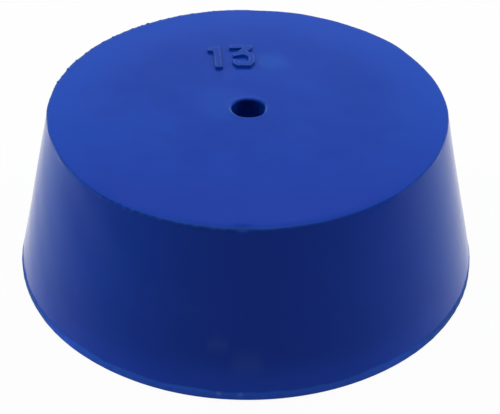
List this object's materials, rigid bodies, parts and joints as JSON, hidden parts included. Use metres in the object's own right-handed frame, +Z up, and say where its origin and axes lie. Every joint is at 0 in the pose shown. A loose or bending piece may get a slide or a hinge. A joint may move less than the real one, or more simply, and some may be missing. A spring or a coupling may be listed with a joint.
{
  "type": "rubber stopper",
  "caption": "Tapered plug of blue rubber with a straight tube hole along its axis; it closes the neck of a flask or bottle around a glass tube.",
  "frame": {"origin": "centre of the large end's flat face, which the stopper stands on", "axes": "+Z runs up the axis of the taper and the tube hole, from the large end to the small end; the solid is the same all round, and +Y points from the hole to the place of the size numerals on the small end, whose tops face +Y"},
  "size_m": [0.068, 0.068, 0.0254],
  "materials": {
    "rubber": "blue moulded rubber, satin on the taper and a little more matt on the ends and the trimmed land"
  },
  "bodies": {
    "root": {"stopper": "rubber"}
  },
  "joints": []
}
